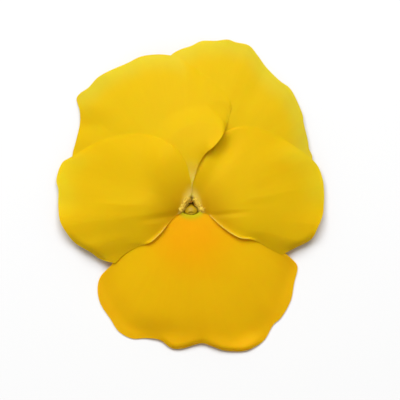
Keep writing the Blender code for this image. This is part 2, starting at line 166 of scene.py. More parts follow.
# base: the line where the petal turns down into the throat. marginA, rim, marginB: its outline
# from one end of the base round to the other, mm from the throat axis. wall: width of the turn
# down. layer: how deep it lies. folds: gentle dents and swells. waves: ripples of the rim, (count,
# phase in turns, height). curls: stretches of edge that roll up, or press down on the petal below,
# (edge, first, last, height, width, fade of both ends); those of one edge add up, and where edges
# meet, the highest and the lowest of them count. pale: (first, last, width) of the stretch of rim
# in the rim's tone, paler on the upper and lateral petals, partly their own tone and partly painted
# glow of light through the thin edge. clawTall: how much taller the pale base is at marginA. The
# pale lip: stretch of marginB that is coloured pale like the base, (first, last, faintness), partly
# a paler thin margin and partly a painted highlight along the rolled-up edge. mesh: rows and
# columns, if not the usual ones.
petals = {
    "upperPetalRight": {
        "node": "upper_petal_right", "slot": "petal_yellow", "wall": 1.4,
        "base": [(0.25, 1.95), (1.1, 1.7), (1.75, 1.0)],
        "pale": (-0.1, 1.1, 3.8), "layer": "none",
        "marginA": [(-0.6, 6.0), (-1.9, 12.0)], "marginB": [(6.0, 2.2), (12.0, 3.8)],
        "rim": [(-3.8, 21.4), (-2.9, 22.7), (-1.5, 23.5), (0.0, 24.0), (1.6, 24.75), (3.7, 24.8),
                (5.5, 25.0), (6.7, 24.6), (8.7, 24.1), (10.0, 22.6), (11.3, 20.8), (13.3, 18.8),
                (14.7, 17.8), (15.6, 16.4), (16.7, 13.8), (16.9, 12.4), (17.5, 9.9), (17.7, 8.6),
                (18.2, 7.2), (17.4, 5.6)],
        "folds": [*sharedFolds.values(),
                  (9.8, 17.5, 3.0, 2.2, 60.0, -0.25),
                  (13.8, 15.5, 3.0, 1.6, 50.0, 0.08), (7.5, 20.5, 3.0, 1.2, 75.0, 0.05)],
        "waves": [(5, 0.3, 0.07), (11, 1.1, 0.025)],
        "curls": [],
    },
    "upperPetalLeft": {
        "node": "upper_petal_left", "slot": "petal_yellow", "wall": 0.6,
        "base": [(0.24, 1.5), (-0.30, 1.65), (-1.1, 1.9), (-1.75, 1.4)],
        "pale": (0.22, 0.80, 3.6), "layer": "upperLeft",
        "marginA": [(0.16, 2.1), (0.16, 2.9), (0.36, 3.7), (0.66, 4.6), (1.0, 5.8), (2.0, 7.6),
                    (3.5, 8.9), (4.6, 10.3), (5.3, 12.0)],
        "marginB": [(-9.0, 3.9), (-14.0, 5.4)],
        "rim": [(6.1, 14.7), (5.6, 16.4), (3.9, 18.2), (2.1, 19.6), (0.0, 21.0), (-1.5, 22.0),
                (-2.9, 22.5), (-5.0, 22.7), (-7.5, 22.4), (-9.6, 21.4), (-12.0, 20.4),
                (-14.0, 19.3), (-15.4, 17.8), (-16.7, 16.9), (-17.2, 16.0), (-16.7, 14.2),
                (-16.7, 12.3), (-17.2, 10.0), (-17.8, 7.6), (-17.3, 6.3)],
        "folds": [(-15.6, 15.2, 3.0, 1.3, -10.0, 0.25), (-15.6, 12.1, 3.0, 1.4, -10.0, -0.45),
                  (-8.0, 12.0, 4.0, 3.0, 30.0, 0.03), aboveThroat],
        "waves": [(4, 0.9, 0.07), (9, 2.0, 0.03)],
        "curls": [("a", -0.3, 0.30, -0.50, 1.0, 0.12), ("a", 0.24, 0.52, -0.35, 1.2, 0.1),
                  ("a", 0.46, 0.78, 0.45, 1.2, 0.1), ("a", 0.72, 1.3, -0.57, 3.5, 0.08),
                  ("a", 0.74, 0.95, -0.25, 2.5, 0.08), ("rim", -0.3, 0.30, -0.50, 3.2, 0.12)],
    },
    "lateralPetalRight": {
        "node": "lateral_petal_right", "slot": "petal_yellow", "wall": 0.75,
        "base": [(0.20, 1.0), (0.55, 0.40), (0.92, -0.25), (1.25, -0.78)],
        "pale": (0.30, 0.72, 4.5), "layer": "step",
        "clawTall": 0.55, "paleLip": (0.02, 0.72, 0.62),
        "marginA": [(0.02, 1.9), (-0.15, 2.8), (0.0, 4.0), (0.3, 5.6), (1.2, 7.8), (3.0, 9.7)],
        "marginB": [(1.8, -0.98), (2.4, -1.15), (3.1, -1.75), (4.0, -2.6), (5.0, -3.4), (6.0, -4.1),
                    (7.3, -4.75), (8.8, -4.95), (10.2, -5.5), (12.0, -6.5)],
        "rim": [(5.0, 11.1), (8.0, 12.0), (12.0, 11.0), (16.0, 8.6), (18.7, 6.4), (19.7, 4.2),
                (19.95, 2.0), (19.9, 0.0), (19.7, -1.5), (19.0, -3.2), (18.0, -5.0), (15.8, -6.2),
                (13.6, -7.3)],
        "folds": [*sharedFolds.values(),
                  (5.2, -1.2, 3.4, 0.4, 5.0, -0.16),
                  (10.0, -2.9, 4.0, 1.1, -8.0, 0.08), (10.5, 0.3, 3.5, 0.5, 8.0, -0.05),
                  (12.0, 1.6, 3.5, 0.5, 12.0, 0.05), (11.5, 3.2, 3.0, 0.6, 20.0, -0.04),
                  aboveThroat],
        "waves": [(3, 0.0, 0.08), (8, 0.6, 0.03)],
        "curls": [("a", 0.3, 0.88, -0.56, 1.6, 0.2), ("rim", -0.2, 0.40, -0.52, 4.2, 0.12),
                  ("b", 0.0, 1.2, -0.52, 1.3, 0.1), ("b", 0.04, 0.74, 0.66, 0.38, 0.16),
                  ("b", 0.56, 1.2, -0.06, 1.4, 0.1),
                  ("rim", 0.66, 0.98, 0.95, 4.0, 0.12), ("rim", 0.80, 1.0, -0.65, 0.6, 0.06)],
    },
    "lateralPetalLeft": {
        "node": "lateral_petal_left", "slot": "petal_yellow", "wall": 0.75,
        "base": [(0.08, 1.10), (-0.46, 0.42), (-0.86, -0.22), (-1.22, -0.86)],
        "pale": (0.36, 0.72, 4.5), "layer": "lateralLeft",
        "clawTall": 0.55, "paleLip": (0.16, 0.62, 0.62),
        "marginA": [(0.08, 1.9), (0.10, 2.8), (0.0, 3.6), (-0.25, 4.7), (-0.75, 6.4), (-2.0, 8.4)],
        "marginB": [(-2.3, -1.5), (-3.3, -2.6), (-4.3, -3.85), (-5.2, -4.75), (-6.2, -5.5),
                    (-8.2, -6.2), (-10.0, -7.3)],
        "rim": [(-2.9, 9.2), (-6.0, 10.6), (-10.0, 10.8), (-14.0, 9.6), (-17.9, 7.4),
                (-19.4, 6.4), (-20.2, 4.0), (-19.9, 2.4), (-19.9, 0.0), (-19.6, -2.3),
                (-18.5, -4.2), (-17.3, -5.6), (-15.1, -6.9), (-13.5, -8.0), (-11.3, -8.6)],
        "folds": [(-4.4, -1.7, 3.0, 0.6, 8.0, -0.26), (-11.0, -1.2, 6.0, 2.6, 8.0, 0.45),
                  (-10.0, -0.9, 3.5, 0.5, 2.0, -0.06), (-11.0, 0.3, 3.5, 0.45, -2.0, 0.05),
                  (-12.0, 1.4, 3.0, 0.45, -4.0, -0.04), aboveThroat],
        "waves": [(3, 1.2, 0.15), (7, 0.2, 0.06)],
        "curls": [("a", -0.3, 1.2, -0.56, 1.5, 0.1), ("a", -0.3, 0.36, -0.44, 1.0, 0.2),
                  ("rim", -0.2, 0.42, -0.48, 3.2, 0.12), ("b", -0.3, 1.2, -0.54, 1.4, 0.1),
                  ("b", 0.18, 0.62, 0.66, 0.38, 0.12), ("b", 0.58, 1.2, -0.08, 1.4, 0.1),
                  ("rim", 0.62, 0.97, 0.95, 4.0, 0.12), ("rim", 0.76, 0.99, -0.65, 0.6, 0.06)],
    },
    "lowerPetal": {
        "node": "lower_petal", "slot": "petal_deep_yellow", "wall": 0.32,
        "base": [(-1.22, -0.80), (-0.80, -1.08), (0.0, -1.20), (0.80, -1.10), (1.25, -0.72)],
        "pale": (-0.1, 1.1, 6.0), "layer": "none", "mesh": (120, 190),
        "marginA": [(-2.1, -0.9), (-5.5, -2.9), (-8.0, -4.6)],
        "marginB": [(2.6, -0.75), (6.2, -2.6), (10.0, -4.5)],
        "rim": [(-10.8, -6.9), (-12.0, -8.9), (-13.6, -10.6), (-14.05, -12.5), (-13.6, -14.7),
                (-12.1, -17.0), (-10.9, -18.8), (-8.9, -19.9), (-6.7, -19.85), (-4.7, -20.1),
                (-3.0, -21.3), (-1.3, -21.4), (1.5, -20.6), (3.0, -21.0), (5.0, -21.7),
                (7.8, -21.8), (9.5, -21.2), (11.1, -20.0), (12.3, -17.9), (13.4, -16.9),
                (14.4, -15.4), (15.1, -13.8), (15.5, -11.5), (16.0, -9.3), (15.3, -8.1),
                (13.0, -6.2)],
        "folds": [(-5.5, -19.4, 5.0, 1.8, 0.0, -0.45), (11.5, -13.0, 2.2, 3.0, 20.0, -0.25),
                  (4.0, -16.0, 2.0, 4.5, 10.0, 0.15)],
        "waves": [(5, 0.4, 0.16), (12, 1.0, 0.06)],
        "curls": [("rim", 0.36, 0.53, 0.7, 1.8, 0.06), ("rim", 0.36, 0.53, -0.6, 0.4, 0.06),
                  ("rim", 0.50, 0.70, 1.0, 1.6, 0.06), ("rim", 0.50, 0.70, -0.8, 0.4, 0.06)],
    },
}


def evenLine(points, share, samples=600):
    # points of a smooth line at the given shares of its length
    line = smoothLine(points, samples)
    step = np.linspace(0.0, 1.0, samples)
    return np.stack([np.interp(share, step, line[:, k]) for k in range(line.shape[1])], axis=-1)


def turnedDown(face, fromBase, wall):
    # the face brought down to the base inside the throat: low + (face - low)(1 - (1 - t)^3)
    low = flower["clawHeight"]
    t = np.clip(fromBase / wall, 0.0, 1.0)
    return low + (face - low) * (1.0 - (1.0 - t) ** 3)


def window(first, last, fadeIn, fadeOut, share):
    # 1 between first and last, with soft ends
    return smoothStep(first, first + fadeIn, share) * (1.0 - smoothStep(last - fadeOut, last, share))


petalShape = {
    "mesh": (110, 170),             # rows from base to rim, columns from marginA to marginB
    "crowded": 0.3,                 # share of the columns that crowd to the margins
    "rowPower": 1.7,                # rows closest at the rim: sin(t * 90 degrees) to this power
    "wavePower": 5,                 # the ripples grow with this power of the way out
    "curlPower": 1.5,               # a curl fades inward as exp(-(distance / width)^power)
    "paleFade": 0.1,                # ends of the paler stretch of rim
    "clawSpread": 0.35,             # share of the columns over which the pale base is taller
    # the pale lip: partly a paler thin margin, partly a painted highlight along the laterals'
    # rolled-up lower edges
    "lipFade": (0.1, 0.12),         # ends of the pale lip
    "lipSlope": 1.6,                # how fast the lip's paleness fades inward, and off its ends
    "offLip": 9.0,
}


def petalGrid(petal):
    # straight rays from the base line to the rim; the two side margins bend the rays beside them
    rows, columns = petal.get("mesh", petalShape["mesh"])
    crowded = petalShape["crowded"]
    t = np.linspace(0.0, 1.0, columns)
    across = ((1.0 - crowded) * t + crowded * (0.5 - 0.5 * np.cos(np.pi * t)))[None, :]
    out = (np.sin(0.5 * np.pi * np.linspace(0.0, 1.0, rows)) ** petalShape["rowPower"])[:, None]
    base = evenLine(petal["base"], across[0])
    rim = evenLine(petal["rim"], across[0])
    place = base[None] * (1.0 - out[..., None]) + rim[None] * out[..., None]
    for key, side, weight in (("marginA", 0, (1.0 - across) ** 3), ("marginB", -1, across ** 3)):
        bent = evenLine([base[side], *petal[key], rim[side]], out[:, 0])
        place = place + weight[..., None] * (bent - place[:, side])[:, None]
    x, y = place[..., 0], place[..., 1]
    extra = sum(hump(x, y, fold) for fold in petal["folds"])
    ripple = out ** petalShape["wavePower"]
    for count, phase, height in petal["waves"]:
        extra = extra + height * np.sin(2.0 * np.pi * (count * across + phase)) * ripple
    face = faceHeight(x, y, petal["layer"], extra)
    fromRim = np.linalg.norm(place - rim[None], axis=2)
    fromA = np.linalg.norm(place - place[:, :1], axis=2)
    fromB = np.linalg.norm(place - place[:, -1:], axis=2)
    fromBase = np.linalg.norm(place - base[None], axis=2)
    edges = {"rim": fromRim, "a": fromA, "b": fromB}
    bends = {side: 0.0 * x for side in edges}
    for side, first, last, height, width, fade in petal["curls"]:
        stretch = window(first, last, fade, fade, across if side == "rim" else out)
        inward = np.exp(-(edges[side] / width) ** petalShape["curlPower"])
        bends[side] = bends[side] + height * stretch * inward
    bends = [*bends.values(), 0.0 * x]
    face = face + spacing(x, y) * (np.maximum.reduce(bends) + np.minimum.reduce(bends))
    z = turnedDown(face, fromBase, petal["wall"])
    edge = np.minimum(np.minimum(fromRim, fromA), fromB)
    # stretch of rim in the rim's tone: on the upper and lateral petals paler, partly their own tone
    # and partly painted glow of light through the thin edge
    first, last, width = petal["pale"]
    fade = petalShape["paleFade"]
    pale = window(first, last, fade, fade, across) * (1.0 - smoothStep(0.0, width, fromRim))
    surface = np.stack([across + 0.0 * out, out + 0.0 * across], axis=-1)
    taller = np.exp(-(across / petalShape["clawSpread"]) ** 2)
    claw = fromBase * (1.0 - petal.get("clawTall", 0.0) * taller)
    # marginB coloured like the pale base along the pale lip: partly a paler thin margin, partly a
    # painted highlight on the rolled-up edge
    first, last, faint = petal.get("paleLip", (0.0, 0.0, petalShape["offLip"]))
    offLip = petalShape["offLip"] * (1.0 - window(first, last, *petalShape["lipFade"], out))
    claw = np.minimum(claw, faint + petalShape["lipSlope"] * fromB + offLip)
    return np.stack([x, y, z], axis=-1), surface, edge, {"pale": pale, "claw": claw}


def addPiece(name, points, faces, material, nodes, uv=None, values=None):
    # points in mm from the throat axis; faces is a list of arrays, each of faces with the same
    # number of corners; uv is one pair for each point, values one number for each point; the piece
    # rides on the flower and stands for its CAD nodes
    mesh = bpy.data.meshes.new(name)
    points = np.asarray(points, float).copy()
    points[:, :2] += flower["throat"]
    corners = np.concatenate([group.ravel() for group in faces])
    sizes = np.concatenate([np.full(len(group), group.shape[1]) for group in faces])
    mesh.vertices.add(len(points))
    mesh.vertices.foreach_set("co", (points * mm).ravel())
    mesh.loops.add(len(corners))
    mesh.loops.foreach_set("vertex_index", corners)
    mesh.polygons.add(len(sizes))
    mesh.polygons.foreach_set("loop_start", np.cumsum(sizes) - sizes)
    mesh.update(calc_edges=True)
    mesh.validate()
    mesh.shade_smooth()
    if uv is not None:
        layer = mesh.uv_layers.new(name="surface")
        layer.data.foreach_set("uv", np.asarray(uv, float)[corners].ravel())
    for key, numbers in (values or {}).items():
        attribute = mesh.attributes.new(key, "FLOAT", "POINT")
        attribute.data.foreach_set("value", np.asarray(numbers, np.float32))
    mesh.materials.append(material)
    piece = bpy.data.objects.new(name, mesh)
    bpy.context.scene.collection.objects.link(piece)
    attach(piece, "root")
    for node in nodes:
        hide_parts(node)


def shell(mid, thickness):
    # a closed skin round a sheet: each point is moved half the thickness along the sheet's normal
    # to both sides, and a strip joins the two sides round the border
    rows, columns = mid.shape[:2]
    along = np.gradient(mid, axis=0)
    across = np.gradient(mid, axis=1)
    normal = np.cross(across, along)
    normal /= np.linalg.norm(normal, axis=2)[..., None] + 1e-12
    if normal[rows // 2, columns // 2, 2] < 0:
        normal = -normal
    half = 0.5 * thickness[..., None] * normal
    points = np.concatenate([(mid + half).reshape(-1, 3), (mid - half).reshape(-1, 3)])
    index = np.arange(rows * columns).reshape(rows, columns)
    top = np.stack([index[:-1, :-1], index[:-1, 1:], index[1:, 1:], index[1:, :-1]], -1)
    top = top.reshape(-1, 4)
    a, b, c = points[top[:, 0]], points[top[:, 1]], points[top[:, 2]]
    middle = len(top) // 2
    if np.cross(b[middle] - a[middle], c[middle] - a[middle])[2] < 0:
        top = top[:, ::-1]
    under = top[:, ::-1] + rows * columns
    border = np.concatenate([index[0, :-1], index[:-1, -1], index[-1, :0:-1], index[:0:-1, 0]])
    nextOne = np.roll(border, -1)
    strip = np.stack([border, nextOne, nextOne + rows * columns, border + rows * columns], -1)
    if (border[0], nextOne[0]) in set(zip(top[0], np.roll(top[0], -1))):
        strip = strip[:, ::-1]
    return points, [top, under, strip]


spur = {
    "route": [(0.0, -2.6, 5.3), (0.0, -2.9, 4.4), (0.0, -3.2, 3.4), (0.0, -3.7, 2.3),
              (0.0, -4.6, 1.45), (0.0, -5.8, 1.25)],
    "radius": 0.95,
    "rings": 90,
    "sides": 40,
    "claw": 0.4,                    # coloured like this distance from the petal's base
}
sheet = {"edge": 0.06, "inside": 0.16, "taper": 0.9}     # thickness, and the width of its taper


def buildPetals():
    # each petal a thin closed sheet; the lower one goes on behind as the round sac of its spur
    for name, petal in petals.items():
        mid, surface, edge, values = petalGrid(petal)
        more = sheet["inside"] - sheet["edge"]
        thickness = sheet["edge"] + more * smoothStep(0.0, sheet["taper"], edge)
        points, faces = shell(mid, thickness)
        uv = np.tile(surface.reshape(-1, 2), (2, 1))
        values = {key: np.tile(numbers.ravel(), 2) for key, numbers in values.items()}
        if name == "lowerPetal":
            sacPoints, sacFaces = tube(*roundRod(spur["route"], spur["radius"], spur["rings"]),
                                       spur["sides"])
            faces = faces + [group + len(points) for group in sacFaces]
            points = np.concatenate([points, sacPoints])
            uv = np.concatenate([uv, np.zeros((len(sacPoints), 2))])
            for key, fill in (("pale", 0.0), ("claw", spur["claw"])):
                values[key] = np.concatenate([values[key], np.full(len(sacPoints), fill)])
        addPiece(name, points, faces, petalMaterial(petal), [petal["node"]], uv,
                 values)
    print("petals built")


def roundRod(route, radius, count, samples=400, tip=0.01):
    # centre line and radii of a rod with half-round ends, rings closing up towards both tips
    length = distanceAlong(smoothLine(route, samples))[-1]
    t = 0.5 - 0.5 * np.cos(np.linspace(tip, np.pi - tip, count))
    near = np.clip(np.minimum(t, 1.0 - t) * length / radius, 0.0, 1.0)
    return evenLine(route, t, samples), radius * np.sqrt(1.0 - (1.0 - near) ** 2)


def ringFaces(index, first, last):
    # quads between closed rings of points, and a fan of triangles to one point at each end
    sides = index.shape[1]
    after = np.roll(index, -1, axis=1)
    quads = np.stack([index[:-1], after[:-1], after[1:], index[1:]], -1).reshape(-1, 4)
    caps = np.concatenate([np.stack([np.full(sides, first), after[0], index[0]], -1),
                           np.stack([np.full(sides, last), index[-1], after[-1]], -1)])
    return [quads, caps]


def tube(path, radii, sides, shape=None):
    # rings square to the path, closed by a fan of triangles at both ends; shape multiplies each
    # ring's radius by a function of the angle and of the ring's number
    path, radii = np.asarray(path, float), np.asarray(radii, float)
    run = unit(np.gradient(path, axis=0))
    side = unit(np.cross(run, (1.0, 0.0, 0.0)))
    other = np.cross(run, side)
    angle = np.linspace(0.0, 2.0 * np.pi, sides, endpoint=False)[None, :]
    radius = radii[:, None] * (shape(angle, np.arange(len(path))[:, None]) if shape else 1.0)
    rings = (path[:, None] + (radius * np.cos(angle))[..., None] * side[:, None]
             + (radius * np.sin(angle))[..., None] * other[:, None])
    points = np.concatenate([rings.reshape(-1, 3), path[:1], path[-1:]])
    index = np.arange(len(path) * sides).reshape(-1, sides)
    return points, ringFaces(index, len(points) - 2, len(points) - 1)


def srgb(code):
    # sRGB hex to the linear colour Blender mixes in
    channels = np.array([int(code[k:k + 2], 16) for k in (0, 2, 4)]) / 255.0
    linear = np.where(channels <= 0.04045, channels / 12.92, ((channels + 0.055) / 1.055) ** 2.4)
    return (*linear.tolist(), 1.0)


def addNode(tree, kind, settings=None, inputs=None):
    # one node: settings are its properties; an input is a number, a colour or another's output
    node = tree.nodes.new("ShaderNode" + kind)
    for key, value in (settings or {}).items():
        setattr(node, key, value)
    for key, value in (inputs or {}).items():
        if isinstance(value, bpy.types.NodeSocket):
            tree.links.new(value, node.inputs[key])
        else:
            node.inputs[key].default_value = value
    return node


def newMaterial(name):
    material = bpy.data.materials.new(name)
    material.use_nodes = True
    tree = material.node_tree
    return material, tree, tree.nodes["Principled BSDF"]


def mixed(tree, first, second, share):
    # (1 - share) first + share second, each an sRGB code or another node's colour; the node takes
    # its colours at 6 and 7 and gives the mixed one at 2
    colours = {6: first, 7: second}
    inputs = {key: srgb(c) if isinstance(c, str) else c for key, c in colours.items()}
    return addNode(tree, "Mix", {"data_type": "RGBA"}, {0: share, **inputs}).outputs[2]


def noise(tree, vector, scale, detail, roughness=0.5, distortion=0.0):
    inputs = {"Vector": vector, "Scale": scale, "Detail": detail, "Roughness": roughness,
              "Distortion": distortion}
    return addNode(tree, "TexNoise", None, inputs).outputs["Fac"]


def fading(tree, value, near, far):
    # 1 up to near, 0 from far on, smooth between them
    return addNode(tree, "MapRange", {"interpolation_type": "SMOOTHSTEP"},
                   {"Value": value, "From Min": near, "From Max": far, "To Min": 1.0,
                    "To Max": 0.0}).outputs["Result"]


def rising(tree, value, low, high, most=1.0):
    # 0 up to low, most from high on, straight between them
    return addNode(tree, "MapRange", None, {"Value": value, "From Min": low, "From Max": high,
                                            "To Max": most}).outputs["Result"]


def reckoned(tree, operation, *inputs):
    # one step of arithmetic
    return addNode(tree, "Math", {"operation": operation},
                   dict(enumerate(inputs))).outputs["Value"]


def bumped(tree, height, strength, distance, inputs=None, invert=False):
    # distance in mm
    return addNode(tree, "Bump", {"invert": invert},
                   {"Height": height, "Strength": strength, "Distance": distance * mm,
                    **(inputs or {})}).outputs["Normal"]


def setShader(tree, colour, normal, roughness, specular, scatter):
    # scatter: share of the light that scatters inside, its reach in red, green and blue, and mm
    shader = tree.nodes["Principled BSDF"]
    tree.links.new(colour, shader.inputs["Base Color"])
    tree.links.new(normal, shader.inputs["Normal"])
    weight, radius, scale = scatter
    for key, value in {"Roughness": roughness, "Specular IOR Level": specular,
                       "Subsurface Weight": weight, "Subsurface Radius": radius,
                       "Subsurface Scale": scale * mm}.items():
        shader.inputs[key].default_value = value


# colours of the petal's parts; rim: the tone towards the rim, on the upper and lateral petals
# paler, partly their own tone and partly painted glow of light through the thin edge; throat: the
# tone round the throat, on the laterals darker, partly their own deeper colour and partly painted
# shade of the hollow and creases round the throat; throatReach: mm over which the throat's tone
# fades; deepest: how far up or down from the throat it is strongest; clawReach: mm over which the
# pale base fades; glow: colour of the light that comes through
petalLook = {
    "upper": {"body": "E8CA12", "rim": "E0D438", "throat": "EAC818", "throatReach": 6.0,
              "deepest": 0.0, "claw": "FCEC78", "clawReach": 6.0, "glow": "F4D418"},
    # the laterals' darker throat tone is partly their own deeper colour and partly painted shade of
    # the hollow and creases round the throat
    "lateral": {"body": "EACA0E", "rim": "EAD824", "throat": "CCA004", "throatReach": 8.5,
                "deepest": -2.4, "claw": "F6E472", "clawReach": 1.15, "glow": "F4D418"},
    "lower": {"body": "F8D20E", "rim": "ECC40C", "throat": "FABE04", "throatReach": 10.0,
              "deepest": -3.5, "claw": "D0D01C", "clawReach": 1.3, "glow": "F8CC10"},
}
petalTissue = {
    "through": 0.42,                # share of the light that goes through the sheet
    "fullClaw": 0.15,               # distance from the base up to which its colour is full
    "fullThroat": 1.2,
    "throatHeight": 6.0,            # height of the centre of the throat's tone
    "veinScale": (46.0, 1.6, 1.0),  # noise cells across the petal and along it
    "patchScale": 260.0,            # noise cells in a metre
    "contrast": 0.06,               # of the veins, and of the patches
    "level": (0.94, 0.02),          # brightness before they are added, and what is taken off again
    "cell": 0.12,                   # mm from cell to cell
}


def petalMaterial(petal):
    # living petal: a thin juicy sheet of tiny domed cells, so it is matt and velvety, glows a
    # little where light comes through, and shows faint veins that fan out from its base
    look = petalLook[petal["node"].split("_")[0]]
    material, tree, shader = newMaterial("velvety " + petal["node"].replace("_", " "))
    place = addNode(tree, "TexCoord").outputs["Object"]
    surface = addNode(tree, "UVMap", {"uv_map": "surface"}).outputs["UV"]
    pale, claw = (addNode(tree, "Attribute", {"attribute_name": key}).outputs["Fac"]
                  for key in ("pale", "claw"))

    # colour: body, the rim's tone (paler rims partly painted glow through the thin edge), deeper
    # round the throat (on the laterals partly painted shade), pale at the base and along the pale
    # lip, which is partly a painted highlight on the laterals' rolled-up lower edges
    throatX, throatY = flower["throat"]
    centre = (throatX * mm, (throatY + look["deepest"]) * mm, petalTissue["throatHeight"] * mm)
    toThroat = addNode(tree, "VectorMath", {"operation": "DISTANCE"}, {0: place, 1: centre})
    near = fading(tree, toThroat.outputs["Value"], petalTissue["fullThroat"] * mm,
                  look["throatReach"] * mm)
    atClaw = fading(tree, claw, petalTissue["fullClaw"], look["clawReach"])
    colour = mixed(tree, look["body"], look["rim"], pale)
    # deeper tone round the throat; on the laterals partly painted shade of the hollow and creases
    # there
    colour = mixed(tree, colour, look["throat"], near)
    colour = mixed(tree, colour, look["claw"], atClaw)

    # veins: noise drawn out along the rays, about 0.6 mm apart at mid petal
    contrast, (bright, less) = petalTissue["contrast"], petalTissue["level"]
    rays = addNode(tree, "Mapping", None, {"Vector": surface, "Scale": petalTissue["veinScale"]})
    veins = noise(tree, rays.outputs["Vector"], 1.0, 3.0, 0.55, 0.4)
    patches = noise(tree, place, petalTissue["patchScale"], 3.0)
    level = reckoned(tree, "MULTIPLY_ADD", veins, contrast, bright)
    level = reckoned(tree, "MULTIPLY_ADD", patches, contrast, level)
    level = reckoned(tree, "SUBTRACT", level, less)
    shaded = addNode(tree, "VectorMath", {"operation": "SCALE"}, {0: colour, "Scale": level})

    # bump: the veins, and the velvet of the cells, real 0.03 mm, drawn at 0.12 mm so it shows
    cells = addNode(tree, "TexVoronoi", {"feature": "F1"},
                    {"Vector": place, "Scale": 1.0 / (petalTissue["cell"] * mm)})
    veinBump = bumped(tree, veins, 0.3, 0.07)
    cellBump = bumped(tree, cells.outputs["Distance"], 0.25, 0.02, {"Normal": veinBump}, True)
    setShader(tree, shaded.outputs["Vector"], cellBump, 0.62, 0.06,
              (1.0, (1.0, 0.6, 0.08), 0.15))

    # part of the light goes straight through the sheet and comes out yellow
    glow = addNode(tree, "BsdfTranslucent", None, {"Color": srgb(look["glow"])})
    both = addNode(tree, "MixShader", None, {0: petalTissue["through"],
                                             1: shader.outputs["BSDF"], 2: glow.outputs["BSDF"]})
    tree.links.new(both.outputs["Shader"], tree.nodes["Material Output"].inputs["Surface"])
    return material


def tissueMaterial(name, dark, light, scale, roughness, depth=0.15):
    # moist plant tissue: two close tones in soft patches of the given scale in mm, faintly glossy;
    # depth is the share of light that scatters inside
    material, tree, _ = newMaterial(name)
    place = addNode(tree, "TexCoord").outputs["Object"]
    patches = noise(tree, place, 1.0 / (scale * mm), 4.0, 0.6)
    setShader(tree, mixed(tree, dark, light, patches), bumped(tree, patches, 0.3, 0.03),
              roughness, 0.2, (depth, (1.0, 0.8, 0.3), 0.3))
    return material


beard = {
    "petals": ("lateralPetalLeft", "lateralPetalRight"),
    "seed": 7,
    "count": 520,                    # hairs on each of them
    "firstShare": 0.05,              # they start this share of the way down from the apex
    "band": 0.85,                    # width of the band they stand on
    "crowding": (1.0, 2.2),          # beta distribution over the band, densest at the mouth
    "length": (0.28, 0.5),
    "shorter": 0.4,                  # share of its length that a hair far from the mouth lacks
    "scatter": 0.35,                 # sideways lean, at random and towards the mouth
    "inward": 0.3,
    "rise": (0.8, 0.5, 0.5),         # upward part: at the mouth, more far from it, more at random
    "bow": 0.08,
    "radius": 0.042,
    "thickness": (0.75, 1.25),       # from hair to hair
    "club": [0.9, 0.75, 0.85, 1.2, 0.9],     # radius of each ring from root to tip
    "sides": 6,
    "tip": 0.8,                      # how far the tip goes past the last ring, in radii
    "aside": 0.02,                   # share of the mouth's line that gives its direction at a hair
    "skew": (0.31, 0.95, 0.05),      # the rings are turned to this direction, which no hair has
    # where the hairs go on past the lower corner of the mouth
    "past": {"lateralPetalLeft": [(-1.5, -1.05)], "lateralPetalRight": [(1.9, -0.95)]},
}


def buildBeards():
    # small clubs: tubes bent along a quadratic curve, rooted beside the mouth of the throat and
    # leaning in over it, all of a petal worked out together
    random = np.random.default_rng(beard["seed"])
    cream = tissueMaterial("papillose beard hairs", "F8CC34", "FFEC6C", 0.25, 0.5, depth=0.05)
    count, rings, sides = beard["count"], len(beard["club"]), beard["sides"]
    index = np.arange(rings * sides).reshape(rings, sides)
    shift = (np.arange(count) * (index.size + 2))[:, None, None]
    faces = [(group[None] + shift).reshape(-1, group.shape[1])
             for group in ringFaces(index, index.size, index.size + 1)]
    riseLeast, riseFar, riseMost = beard["rise"]
    for name in beard["petals"]:
        petal = petals[name]
        share = random.uniform(beard["firstShare"], 1.0, count)
        line = petal["base"] + beard["past"][name]
        mouth = evenLine(line, share)
        ahead = unit(evenLine(line, np.clip(share + beard["aside"], 0.0, 1.0))
                     - evenLine(line, np.clip(share - beard["aside"], 0.0, 1.0)))
        away = np.stack([ahead[:, 1], -ahead[:, 0]], axis=1)
        away *= np.sign(away[:, 0] * mouth[:, 0])[:, None]
        depth = beard["band"] * random.beta(*beard["crowding"], count)
        place = mouth + away * depth[:, None]
        face = faceHeight(place[:, 0], place[:, 1], petal["layer"])
        foot = turnedDown(face, depth, petal["wall"])
        base = np.concatenate([place, foot[:, None]], axis=1)
        length = random.uniform(*beard["length"], count)
        length = length * (1.0 - beard["shorter"] * depth / beard["band"])
        lean = random.normal(0.0, beard["scatter"], (count, 2)) - beard["inward"] * away
        rise = (riseLeast + riseFar * depth / beard["band"]
                + random.uniform(0.0, riseMost, count))
        heading = unit(np.concatenate([lean, rise[:, None]], axis=1))
        tip = base + heading * length[:, None]
        middle = 0.5 * (base + tip) + np.array([0.0, 0.0, beard["bow"]])
        s = np.linspace(0.0, 1.0, rings)[None, :, None]
        path = ((1 - s) ** 2 * base[:, None] + 2 * s * (1 - s) * middle[:, None]
                + s ** 2 * tip[:, None])
        run = unit(np.gradient(path, axis=1))
        across = unit(np.cross(run, beard["skew"]))
        up = np.cross(run, across)
        club = np.array(beard["club"])[None, :, None, None]
        thick = random.uniform(*beard["thickness"], count)[:, None, None, None]
        size = beard["radius"] * thick * club
        angle = np.linspace(0.0, 2.0 * np.pi, sides, endpoint=False)[None, None, :, None]
        skin = path[:, :, None] + size * (np.cos(angle) * across[:, :, None]
                                          + np.sin(angle) * up[:, :, None])
        ends = np.stack([base, tip + beard["tip"] * beard["radius"] * run[:, -1]], axis=1)
        points = np.concatenate([skin.reshape(count, -1, 3), ends], axis=1)
        addPiece(name.replace("Petal", "Beard"), points.reshape(-1, 3), faces, cream, [])
    print("beards built")


